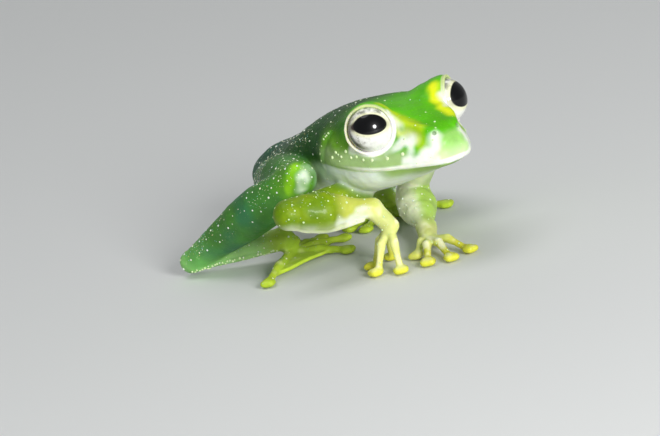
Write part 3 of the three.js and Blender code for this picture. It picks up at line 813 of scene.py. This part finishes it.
def arm_tints(side, points, normals, blotch, fine, broken):
    arm = mix(ARM, ARM_DARK, 0.7 * ease(broken, -0.1, 0.8))
    if side == "left":
        # The left arm is paler on the side that faces -Y, toward the camera: a painted highlight
        arm = mix(LEFT_ARM, LEFT_ARM_HIGHLIGHT, ease(-normals[:, 1] + 0.3 * broken, -0.4, 0.5))
    arm = mix(arm, ARM_EDGE, ease(-normals[:, 2] + 0.1 * fine, 0.25, 0.9) * 0.6)
    fore = arm
    if side == "right":
        fore = mix(fore, ARM_TAN, ease(-distance_to(side, "wrist", points) + 0.3 * blotch, -3.0, -2.0))
        fore = mix(fore, WHITE, stroke(points + 0.3 * broken[:, None], WRIST_EDGE, 0.34, 0.28) * 0.95)
        fore = mix(fore, ARM_EDGE, stroke(points, arm_edge(), 0.22, 0.14))
    hand = mix(HAND, DIGIT, ease(distance_to(side, "knuckles", points), 1.4, 3.2))
    # Pale streaks on the upward faces of the hand: painted highlights
    finger_highlights = ease(fine + 0.5 * blotch, -0.1, 0.5) * ease(normals[:, 2], 0.0, 0.6)
    hand = mix(hand, DIGIT_HIGHLIGHT, finger_highlights * ease(points[:, 2], 0.35, 0.75))
    return {f"upper_arm_{side}": arm, f"forearm_{side}": fore, f"hand_{side}": hand}


def paint(points, normals):
    """The skin's colour at each point, from where it lies on the frog."""
    x, y, z = points.T
    found = part_distances(points)
    stack = np.stack(list(found.values()), 1)
    weights = np.exp(-np.clip(stack - stack.min(1, keepdims=True), 0, 3) / TINT_BLEND)
    weights /= weights.sum(1, keepdims=True)
    blotch = mottle.at(points, 1.5)
    fine = grain.at(points, 0.5)
    broken = blotch + 0.6 * fine
    trunk = trunk_tint(points, blotch, broken)
    head = head_tint(points, blotch, fine, broken)
    tints = {"body": mix(trunk, head, ease(x + 0.3 * blotch, -5.8, -3.6))}
    for side in SIDE_SIGN:
        tints.update(leg_tints(side, points, blotch, fine, broken))
        tints.update(arm_tints(side, points, normals, blotch, fine, broken))
    total = sum(weights[:, k : k + 1] * tints[name] for k, name in enumerate(found))
    for side, sign in SIDE_SIGN.items():
        from_eye = points - eye_centre(side)
        front_way = np.cross(eye_axis(side), (0, 0, sign))
        shade = mix(RIM, RIM_TOP, ease(from_eye[:, 2], 0.3, 1.5) * 0.9)
        shade = mix(shade, RIM_REAR, ease(-from_eye @ front_way, 0.6, 1.5))
        total = mix(total, shade, ease(-LidRim(side).distance(x, y, z), -0.13, -0.04))
        # The nostril pit is darkened with painted shade
        pit = Ball(mirrored(NOSTRIL, sign), NOSTRIL_PIT).distance(x, y, z)
        total = mix(total, NOSTRIL_SHADE, ease(-pit, -0.03, 0.03) * 0.7)
    shade = 1 + 0.1 * blotch + 0.07 * fine
    return np.clip(total * shade[:, None], 0, 1)


def set_colours(mesh, name, colours):
    layer = mesh.color_attributes.new(name, "FLOAT_COLOR", "POINT")
    data = np.ones((len(colours), 4), np.float32)
    data[:, :3] = colours
    layer.data.foreach_set("color", data.ravel())


class Look:
    """A material, with short ways to add nodes to it."""

    def __init__(self, name):
        self.material = bpy.data.materials.new(name)
        self.material.use_nodes = True
        self.tree = self.material.node_tree

    def feed(self, node, inputs):
        """Gives a node's inputs, by name or by place, a link or a fixed value."""
        for name, value in inputs.items():
            socket = node.inputs[name]
            if isinstance(value, bpy.types.NodeSocket):
                self.tree.links.new(value, socket)
            else:
                socket.default_value = (*value, 1) if socket.type == "RGBA" else value

    def node(self, kind, inputs, **settings):
        node = self.tree.nodes.new(f"ShaderNode{kind}")
        for name, value in settings.items():
            setattr(node, name, value)
        self.feed(node, inputs)
        return node

    def attribute(self, name, output):
        return self.node("Attribute", {}, attribute_name=name).outputs[output]

    def noise(self, place, scale, **inputs):
        return self.node("TexNoise", {"Vector": place, "Scale": scale, **inputs}).outputs["Fac"]

    def ramp(self, value, low, high, start=0.0, end=1.0, kind="SMOOTHSTEP"):
        inputs = {"Value": value, "From Min": low, "From Max": high, "To Min": start, "To Max": end}
        return self.node("MapRange", inputs, interpolation_type=kind).outputs["Result"]

    def math(self, operation, *values):
        return self.node("Math", dict(enumerate(values)), operation=operation).outputs["Value"]

    def blend(self, under, over, share, kind="MIX"):
        inputs = {"A": under, "B": over, "Factor": share}
        return self.node("Mix", inputs, data_type="RGBA", blend_type=kind).outputs["Result"]

    def surface(self, inputs):
        self.feed(self.tree.nodes["Principled BSDF"], inputs)
        return self.material


def skin_material():
    look = Look("moist_skin")
    place = look.node("TexCoord", {}).outputs["Object"]
    granules = look.node("TexVoronoi", {"Vector": place, "Scale": 4200}).outputs["Distance"]
    clouds = look.noise(place, 800, Detail=4)
    pores = look.noise(place, 6500, Detail=3)
    shade = look.ramp(clouds, 0.3, 0.7, 0.86, 1.08, "LINEAR")
    tint = look.blend(look.attribute("tint", "Color"), shade, 1, "MULTIPLY")
    share = look.ramp(granules, 0.24, 0.05, 0.0, 0.3, "LINEAR")
    height = look.math("SUBTRACT", pores, granules)
    bump = look.node("Bump", {"Strength": 0.5, "Distance": 0.025 * MM, "Height": height})
    return look.surface({
        "Base Color": look.blend(tint, colour(120, 150, 50), share, "SCREEN"),
        "Normal": bump.outputs["Normal"],
        "Roughness": look.ramp(clouds, 0.3, 0.7, 0.42, 0.6, "LINEAR"),
        "Subsurface Weight": 0.45,
        "Subsurface Radius": (0.8, 1.0, 0.3),
        "Subsurface Scale": 0.6 * MM,
        "IOR": 1.36,
        "Specular IOR Level": 0.4,
        "Coat Weight": 0.08,
        "Coat Roughness": 0.12,
    })


def make_skin():
    points, quads = build_field().surface()
    skin = new_mesh_object("skin", points, quads)
    normals = mesh_normals(skin.data)
    lift = relief(points) * ease(points[:, 2], 0.05, 0.4)
    moved = points + normals * lift[:, None]
    moved[:, 2] = np.maximum(moved[:, 2], 0.0)
    set_colours(skin.data, "tint", paint(points, normals))
    skin.data.vertices.foreach_set("co", to_row(moved).astype(np.float32).ravel())
    skin.data.materials.append(skin_material())
    skin.data.update()
    return skin, points, normals


skin, skin_points, skin_normals = make_skin()
print("skin", len(skin.data.vertices), "vertices", len(skin.data.polygons), "faces")
flesh = ["head", "torso"]
for side in SIDE_SIGN:
    flesh += [f"{part}_{side}" for part in limbs[side]]
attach(skin, "root")
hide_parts(*flesh)


# Eyes
PUPIL = (1.04, 0.65)
PUPIL_BLACK = (0.001, 0.001, 0.0015)
EYE_PLAY = 0.01
EYE_RINGS = 48
EYE_SIDES = 64
CORNEA_SWELL = 0.03


def eye_material():
    look = Look("eye")
    place = look.attribute("look", "Vector")
    parts = look.node("SeparateXYZ", {"Vector": place})

    def ellipse(half_wide, half_high):
        u = look.math("DIVIDE", parts.outputs["X"], half_wide)
        v = look.math("DIVIDE", parts.outputs["Y"], half_high)
        return look.math("SQRT", look.math("ADD", look.math("MULTIPLY", u, u), look.math("MULTIPLY", v, v)))

    # The attribute's X points forward, Y up and Z out of the eye, in millimetres
    rear = look.ramp(parts.outputs["X"], 0.3, -1.1)
    above = look.ramp(parts.outputs["Y"], 0.1, 0.9)
    clouds = look.ramp(look.noise(place, 1.6, Detail=3, Roughness=0.6), 0.42, 0.66)
    clouds = look.math("MULTIPLY", clouds, look.math("ADD", above, 0.15))
    iris = look.blend(colour(246, 246, 240), colour(150, 152, 140), clouds)
    low_veins = look.ramp(look.noise(place, 3.4, Detail=5, Roughness=0.7), 0.5, 0.68)
    low_veins = look.math("MULTIPLY", low_veins, look.math("ADD", rear, 0.08))
    iris = look.blend(iris, colour(122, 116, 104), low_veins)
    near_pupil = look.ramp(ellipse(*PUPIL), 1.36, 1.06)
    iris = look.blend(iris, colour(228, 228, 166), look.math("MULTIPLY", near_pupil, 0.6))
    smoky = look.math("MULTIPLY", look.ramp(ellipse(1.55, 0.5), 1.0, 0.6), look.math("ADD", rear, 0.4))
    iris = look.blend(iris, colour(64, 52, 48), smoky)
    rim = look.ramp(ellipse(1.4, 1.4), 0.85, 0.98)
    iris = look.blend(iris, colour(40, 34, 28), look.math("MULTIPLY", rim, rear))
    return look.surface({
        "Base Color": look.blend(PUPIL_BLACK, iris, look.ramp(ellipse(*PUPIL), 0.965, 1.035)),
        "Roughness": 0.35,
        "Specular IOR Level": 0.1,
        "Coat Weight": 1,
        "Coat Roughness": 0.02,
        "Coat IOR": 1.38,
    })


eye_look = eye_material()


def make_eye(side):
    """An eyeball whose cornea swells a little, turned so that its own Z is where it looks."""
    radius = EYE_RADIUS - EYE_PLAY
    points = [(0, 0, radius * (1 + CORNEA_SWELL))]
    for ring in range(1, EYE_RINGS):
        angle = math.pi * ring / EYE_RINGS
        swell = 1 + CORNEA_SWELL * (1 - ease(angle, 0.5, 1.15))
        across = math.sin(angle) * swell * radius
        ahead = math.cos(angle) * swell * radius
        for turn in 2 * math.pi * np.arange(EYE_SIDES) / EYE_SIDES:
            points.append((across * math.cos(turn), across * math.sin(turn), ahead))
    points.append((0, 0, -radius))
    last = len(points) - 1
    rear = last - EYE_SIDES
    faces = []
    for k in range(EYE_SIDES):
        after = (k + 1) % EYE_SIDES
        faces += [(0, 1 + k, 1 + after), (rear + k, last, rear + after)]
        for low in range(1, rear, EYE_SIDES):
            faces.append((low + k, low + EYE_SIDES + k, low + EYE_SIDES + after, low + after))
    eye = new_mesh_object(f"eyeball_{side}", np.array(points) * MM, faces)
    look = eye.data.attributes.new("look", "FLOAT_VECTOR", "POINT")
    yaw, pitch, pupil_tilt, tallness = GAZE[side]
    tilt = math.radians(pupil_tilt)
    forward, up, out = (np.array(points) * (-SIDE_SIGN[side], 1, 1)).T
    along = forward * math.cos(tilt) - up * math.sin(tilt)
    aside = (forward * math.sin(tilt) + up * math.cos(tilt)) / tallness
    look.data.foreach_set("vector", np.stack([along, aside, out], 1).astype(np.float32).ravel())
    eye.data.materials.append(eye_look)
    axis = Vector(eye_axis(side, yaw, pitch))
    across = Vector((0, 0, 1)).cross(axis).normalized()
    upward = axis.cross(across)
    turn = Matrix((across, upward, axis)).transposed().to_4x4()
    eye.matrix_world = Matrix.Translation(to_row(eye_centre(side))) @ turn
    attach(eye, "root")
    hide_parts(f"eye_{side}")


for side in SIDE_SIGN:
    make_eye(side)


# Flecks: small pale domes set on the skin
FLECK_SIDES = 8
FLECK_RINGS = ((1.0, -0.4), (0.86, 0.18), (0.5, 0.42))
FLECK_TOP = 0.52
BAKE_PATCH = 0.003
BAKE_TILES = 4
FLECK_CANDIDATES = 3000
SPECK_COUNT = 4000
WIDEST_SPACING = 0.8
CREAM = colour(240, 246, 206)
PEARL = colour(240, 248, 244)
SKY = colour(120, 206, 214)
GOLD = colour(232, 206, 110)
GREEN_PEARL = colour(206, 234, 166)


def fleck_material():
    look = Look("pale_fleck")
    tint = look.attribute("tint", "Color")
    return look.surface({"Base Color": tint, "Roughness": 0.25, "Coat Weight": 0.5})


fleck_look = fleck_material()


def unwrapped(points):
    """A place on a flat map for each point: a tile for each part, unrolled about its length."""
    nearest, _ = nearest_part(points)
    places = np.zeros((len(points), 2))
    for tile in np.unique(nearest):
        here = nearest == tile
        own = points[here] - points[here].mean(0)
        along = own[:, 0] - own[:, 0].min()
        across = along / max(along.max(), 0.1)
        around = np.arctan2(own[:, 2], own[:, 1]) / (2 * math.pi) + 0.5
        corner = (tile % BAKE_TILES, tile // BAKE_TILES)
        places[here] = (np.stack([across, around], 1) * 0.9 + 0.05 + corner) / BAKE_TILES
    return places


def make_domes(name, centres, normals, radii, tints):
    """Joins small domes, one at each centre, into one piece."""
    side = np.cross(normals, (0.3, 0.5, 0.81))
    side /= np.linalg.norm(side, axis=1, keepdims=True)
    other = np.cross(normals, side)
    turn = 2 * np.pi * np.arange(FLECK_SIDES) / FLECK_SIDES
    rim = np.stack([np.cos(turn), np.sin(turn)], 1)
    around = side[:, None] * rim[:, :1] + other[:, None] * rim[:, 1:]
    middle, lift, size = centres[:, None], normals[:, None], radii[:, None, None]
    rings = [middle + size * (around * wide + lift * high) for wide, high in FLECK_RINGS]
    top = middle + size * lift * FLECK_TOP
    points = np.concatenate([*rings, top], axis=1)
    per_dome = points.shape[1]
    pattern = []
    for k in range(FLECK_SIDES):
        after = (k + 1) % FLECK_SIDES
        for ring in range(len(FLECK_RINGS) - 1):
            low, high = ring * FLECK_SIDES, (ring + 1) * FLECK_SIDES
            pattern += [(low + k, low + after, high + after), (low + k, high + after, high + k)]
        last = (len(FLECK_RINGS) - 1) * FLECK_SIDES
        pattern.append((last + k, last + after, per_dome - 1))
        if 0 < k < FLECK_SIDES - 1:
            pattern.append((0, k + 1, k))
    faces = np.array(pattern)[None] + per_dome * np.arange(len(centres))[:, None, None]
    domes = new_mesh_object(name, to_row(points.reshape(-1, 3)), faces.reshape(-1, 3))
    patch = np.concatenate([*(rim * ring[0] for ring in FLECK_RINGS), [(0, 0)]]) * BAKE_PATCH / 2
    flat = (unwrapped(centres)[:, None] + patch).reshape(-1, 2)
    bake_map = domes.data.uv_layers.new(name="OFBake")
    bake_map.data.foreach_set("uv", flat[faces.ravel()].astype(np.float32).ravel())
    set_colours(domes.data, "tint", np.repeat(tints, per_dome, axis=0))
    domes.data.materials.append(fleck_look)
    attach(domes, "root")


def fleck_density(points, normals):
    """How thickly large flecks and fine ones lie at each point of the skin."""
    x, _, z = points.T
    _, nearest = nearest_part(points)
    bare = np.char.startswith(nearest, "foot") | np.char.startswith(nearest, "hand")
    on_arm = np.char.startswith(nearest, "forearm") | np.char.startswith(nearest, "upper_arm")
    on_body = nearest == "body"
    head = ease(x, -5.0, -3.8)
    belly = ease(mouth_height(x) - z, 0.0, 0.6) * head * on_body
    above = ease(normals[:, 2], -0.5, 0.1)
    large = above * np.where(on_body, 0.75 - 0.67 * head, 1.0) * np.where(bare, 0.15, 1.0) * (1 - belly)
    large *= np.where(on_arm, 1.2, 1.0)
    sheen = ease(mottle.at(points + 31, 1.3), 0.05, 0.5)
    fine = above * np.where(on_body, 0.35 - 0.27 * head, np.where(on_arm, 0.2, 0.8)) * (0.25 + sheen)
    fine = fine * np.where(bare, 0.2, 1.0) * (1 - belly)
    fine *= 1 + 2 * stroke(points, SHANK_GLITTER, 0.5, 0.5)
    fine *= 1 + 7 * stroke(points, WRIST_EDGE, 0.6, 0.4)
    clear = np.ones(len(points))
    for side in SIDE_SIGN:
        clear *= ease(np.linalg.norm(points - eye_centre(side), axis=1), 1.75, 1.95)
    return large * clear * (z > 0.5), fine * clear * (z > 0.4)


def pick_spread(candidates, spacing):
    """Of the candidate points, those that keep their spacing, in the order given."""
    kept = []
    cells = {}
    for index, gap in zip(candidates, spacing):
        point = skin_points[index]
        i, j, k = (point // WIDEST_SPACING).astype(int)
        beside = itertools.product((i - 1, i, i + 1), (j - 1, j, j + 1), (k - 1, k, k + 1))
        near = [n for cell in beside for n in cells.get(cell, [])]
        if all(np.sum((skin_points[n] - point) ** 2) > gap * gap for n in near):
            kept.append(index)
            cells.setdefault((i, j, k), []).append(index)
    return np.array(kept)


def jittered(chosen, rng):
    """The chosen skin points, each moved a little to the side so that they lie in no rows."""
    aside = np.cross(skin_normals[chosen], rng.normal(size=(len(chosen), 3)))
    return skin_points[chosen] + aside * VOXEL * 0.4


def scatter_flecks():
    rng = np.random.default_rng(21)
    large, fine = fleck_density(skin_points, skin_normals)
    candidates = rng.choice(len(skin_points), FLECK_CANDIDATES, replace=False, p=large / large.sum())
    dots = pick_spread(candidates, rng.uniform(0.45, WIDEST_SPACING, len(candidates)))
    radii = rng.uniform(0.05, 0.075, len(dots)) * np.where(rng.random(len(dots)) < 0.2, 1.3, 1)
    tints = mix(CREAM, PEARL, rng.random(len(dots)))
    tints = mix(tints, GREEN_PEARL, ease(skin_points[dots][:, 0], -5.0, -3.6) * 0.8)
    make_domes("flecks", jittered(dots, rng), skin_normals[dots], radii, tints)
    specks = rng.choice(len(skin_points), SPECK_COUNT, replace=False, p=fine / fine.sum())
    tints = mix(CREAM, SKY, (rng.random(len(specks)) < 0.3) * 0.75)
    tints = mix(tints, GOLD, (rng.random(len(specks)) < 0.1) * 0.8)
    places = jittered(specks, rng)
    make_domes("specks", places, skin_normals[specks], rng.uniform(0.014, 0.03, len(specks)), tints)


def make_pearls():
    """Rows of pale granules: over the upper lip, down the fold and along the fringe."""
    rng = np.random.default_rng(5)
    targets, sizes = [], []
    for side, sign in SIDE_SIGN.items():
        for dot in LIP_DOTS:
            targets.append(mirrored(dot, sign))
            sizes.append(rng.uniform(0.11, 0.14))
        for a, b in zip(FOLD, FOLD[1:]):
            for share in (0.1, 0.4, 0.7):
                at = between(a, b, share) + rng.uniform(-0.1, 0.1, 3)
                targets.append(mirrored(at + (0, 0.3, 0), sign))
                sizes.append(rng.uniform(0.05, 0.09))
        row = fringe_line(side)
        for t in np.linspace(0, len(row) - 1.001, 34):
            at = between(row[int(t)], row[int(t) + 1], t % 1)
            targets.append(at + rng.uniform(-0.02, 0.02, 3))
            sizes.append(rng.uniform(0.07, 0.105))
    chosen = [np.argmin(np.sum((skin_points - target) ** 2, axis=1)) for target in targets]
    tints = mix(CREAM, GREEN_PEARL, 0.4 + 0.6 * rng.random(len(chosen)))
    make_domes("pearls", skin_points[chosen], skin_normals[chosen], np.array(sizes), tints)


scatter_flecks()
make_pearls()


# Floor, lights and camera, in metres
FLOOR_HALF = 2.0
LIGHT_AIM = Vector((0, 0, 0.006))


def make_floor():
    corners = np.array([(-1, -1, 0), (1, -1, 0), (1, 1, 0), (-1, 1, 0)]) * FLOOR_HALF
    floor = new_mesh_object("floor", corners, [(0, 1, 2, 3)])
    look = Look("pale_floor")
    floor.data.materials.append(look.surface({"Base Color": (0.78, 0.79, 0.78), "Roughness": 0.7}))


def make_light(name, place, size, energy):
    data = bpy.data.lights.new(name, "AREA")
    data.shape = "DISK"
    data.size = size
    data.energy = energy
    light = bpy.data.objects.new(name, data)
    light.location = place
    light.rotation_mode = "QUATERNION"
    light.rotation_quaternion = (LIGHT_AIM - Vector(place)).to_track_quat("-Z", "Y")
    bpy.context.scene.collection.objects.link(light)


# Where the photograph was taken from, in degrees and millimetres
VIEW_AZIMUTH = 58.0
VIEW_ELEVATION = 12.0
VIEW_ROLL = 13.0
VIEW_DISTANCE = 230.0
VIEW_HEIGHT = 9.4
PIXELS_PER_MM = 16.0
EYES_PIXEL = (407.0, 112.5)
IMAGE_SIZE = (660, 436)
SENSOR_MM = 36.0


def make_camera():
    a, e, r = (math.radians(v) for v in (VIEW_AZIMUTH, VIEW_ELEVATION, VIEW_ROLL))
    back = Vector((math.sin(a) * math.cos(e), -math.cos(a) * math.cos(e), math.sin(e)))
    level = Vector((math.cos(a), math.sin(a), 0))
    steep = back.cross(level)
    right = level * math.cos(r) - steep * math.sin(r)
    upward = level * math.sin(r) + steep * math.cos(r)
    eyes = Vector((0, 0, VIEW_HEIGHT))
    place = eyes + back * VIEW_DISTANCE
    across = (IMAGE_SIZE[0] / 2 - EYES_PIXEL[0]) / PIXELS_PER_MM
    down = (IMAGE_SIZE[1] / 2 - EYES_PIXEL[1]) / PIXELS_PER_MM
    aim = eyes + right * across - upward * down
    forward = (aim - place).normalized()
    side = forward.cross(upward).normalized()
    top = side.cross(forward)
    data = bpy.data.cameras.new("camera")
    data.sensor_width = SENSOR_MM
    data.lens = PIXELS_PER_MM * VIEW_DISTANCE * SENSOR_MM / IMAGE_SIZE[0]
    data.clip_start, data.clip_end = 0.01, 20
    camera = bpy.data.objects.new("camera", data)
    turn = Matrix((side, top, -forward)).transposed().to_4x4()
    camera.matrix_world = Matrix.Translation(Vector(to_row(place))) @ turn
    bpy.context.scene.collection.objects.link(camera)
    bpy.context.scene.camera = camera


make_floor()
make_light("key", (0.245, -0.047, 0.08), 0.075, 0.62)
make_light("over", (-0.04, -0.06, 0.36), 0.24, 0.34)
make_light("behind", (-0.3, 0.12, 0.2), 0.2, 0.06)
make_camera()

world = bpy.data.worlds.new("studio")
world.use_nodes = True
background = world.node_tree.nodes["Background"]
background.inputs["Color"].default_value = (0.9, 0.93, 0.95, 1)
background.inputs["Strength"].default_value = 0.27
bpy.context.scene.world = world
bpy.context.scene.view_settings.view_transform = "Standard"
